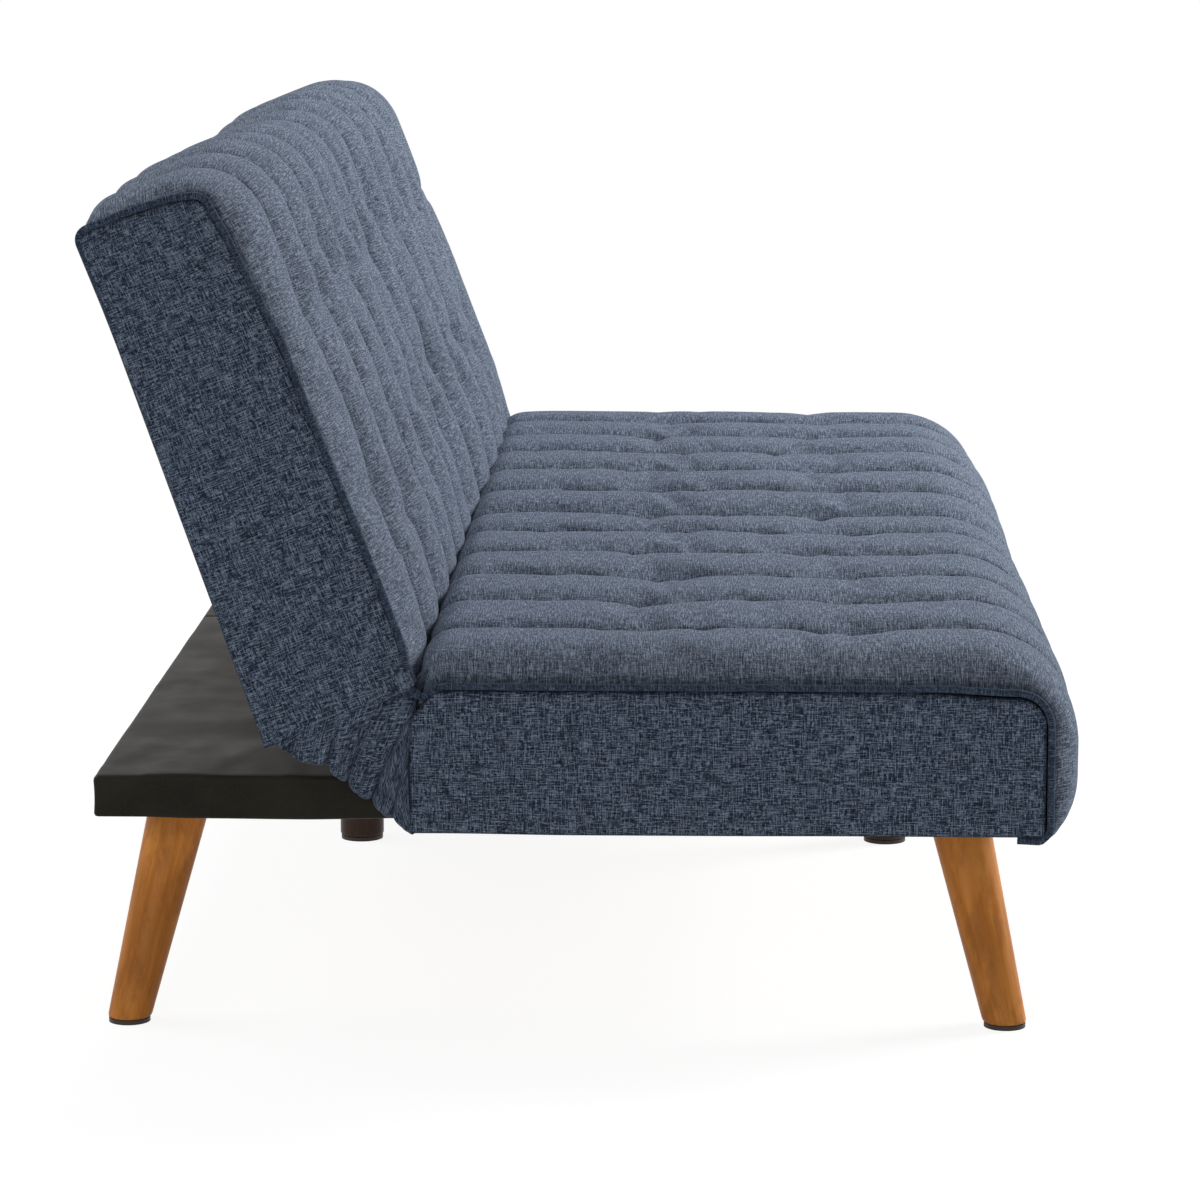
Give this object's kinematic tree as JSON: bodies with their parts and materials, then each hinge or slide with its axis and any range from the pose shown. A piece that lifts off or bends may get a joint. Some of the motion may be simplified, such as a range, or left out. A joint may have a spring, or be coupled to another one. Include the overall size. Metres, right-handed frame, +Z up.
{
  "type": "futon sofa bed",
  "caption": "Armless click-clack futon sofa bed with a channel-quilted seat and back, piped end panels, a cloth-wrapped base and splayed wooden legs.",
  "frame": {"origin": "on the floor, under the middle of the sofa's overall box", "axes": "+X along the sofa's length, to the right of someone facing it; -Y is the front; +Z up"},
  "size_m": [1.68, 0.8498, 0.7623],
  "materials": {
    "quilt_linen": "heathered blue-grey slub linen, quilted in channels",
    "end_linen": "darker navy heathered linen weave",
    "piping_linen": "self piping in the same linen",
    "black_cloth": "thin non-woven cloth, olive black",
    "foam": "open-cell upholstery foam",
    "webbing": "elastic webbing",
    "leg_wood": "honey-brown stained hardwood, satin",
    "centre_leg_wood": "dark stained hardwood",
    "glide_plastic": "moulded black glide",
    "steel": "zinc-plated pressed steel",
    "plywood": "raw plywood",
    "pine": "planed pine"
  },
  "bodies": {
    "base": {"base_cross_rails": "pine", "base_decks": "plywood", "base_end_rails": "pine", "base_inner_rails": "pine", "base_long_rails": "pine", "base_wrap_left": "black_cloth", "base_wrap_right": "black_cloth", "centre_leg_front": "centre_leg_wood", "centre_leg_rear": "centre_leg_wood", "gusset_left": "end_linen", "gusset_right": "end_linen", "hinge_rivets": "steel", "hinge_seat_arm_left": "steel", "hinge_seat_arm_right": "steel", "hinge_seat_bolts": "steel", "leg_front_left": "leg_wood", "leg_front_right": "leg_wood", "leg_glides": "glide_plastic", "leg_plates": "steel", "leg_rear_left": "leg_wood", "leg_rear_right": "leg_wood", "seat_centre_rail": "pine", "seat_cover": "quilt_linen", "seat_end_board_left": "plywood", "seat_end_board_right": "plywood", "seat_end_panel_left": "end_linen", "seat_end_panel_right": "end_linen", "seat_foam": "foam", "seat_front_board": "plywood", "seat_front_rail": "pine", "seat_ledgers": "pine", "seat_piping_left": "piping_linen", "seat_piping_right": "piping_linen", "seat_rear_rail": "pine", "seat_side_rail_left": "pine", "seat_side_rail_right": "pine", "seat_slats": "plywood"},
    "backrest": {"back_bottom_rail": "pine", "back_cover": "quilt_linen", "back_dust_cover": "black_cloth", "back_end_board_left": "plywood", "back_end_board_right": "plywood", "back_end_panel_left": "end_linen", "back_end_panel_right": "end_linen", "back_foam": "foam", "back_piping_left": "piping_linen", "back_piping_right": "piping_linen", "back_stile_left": "pine", "back_stile_right": "pine", "back_top_board": "plywood", "back_top_rail": "pine", "back_webbing": "webbing", "hinge_back_arm_left": "steel", "hinge_back_arm_right": "steel", "hinge_back_bolts": "steel", "hinge_ratchet_left": "steel", "hinge_ratchet_right": "steel"}
  },
  "joints": [
    {"name": "back_recline", "type": "hinge", "parent": "base", "child": "backrest", "pos_m": [0, 0.14515, 0.308], "axis": [-1, 0, 0], "range_deg": [-10, 68.7], "deforming": ["gusset_left", "gusset_right"]}
  ]
}
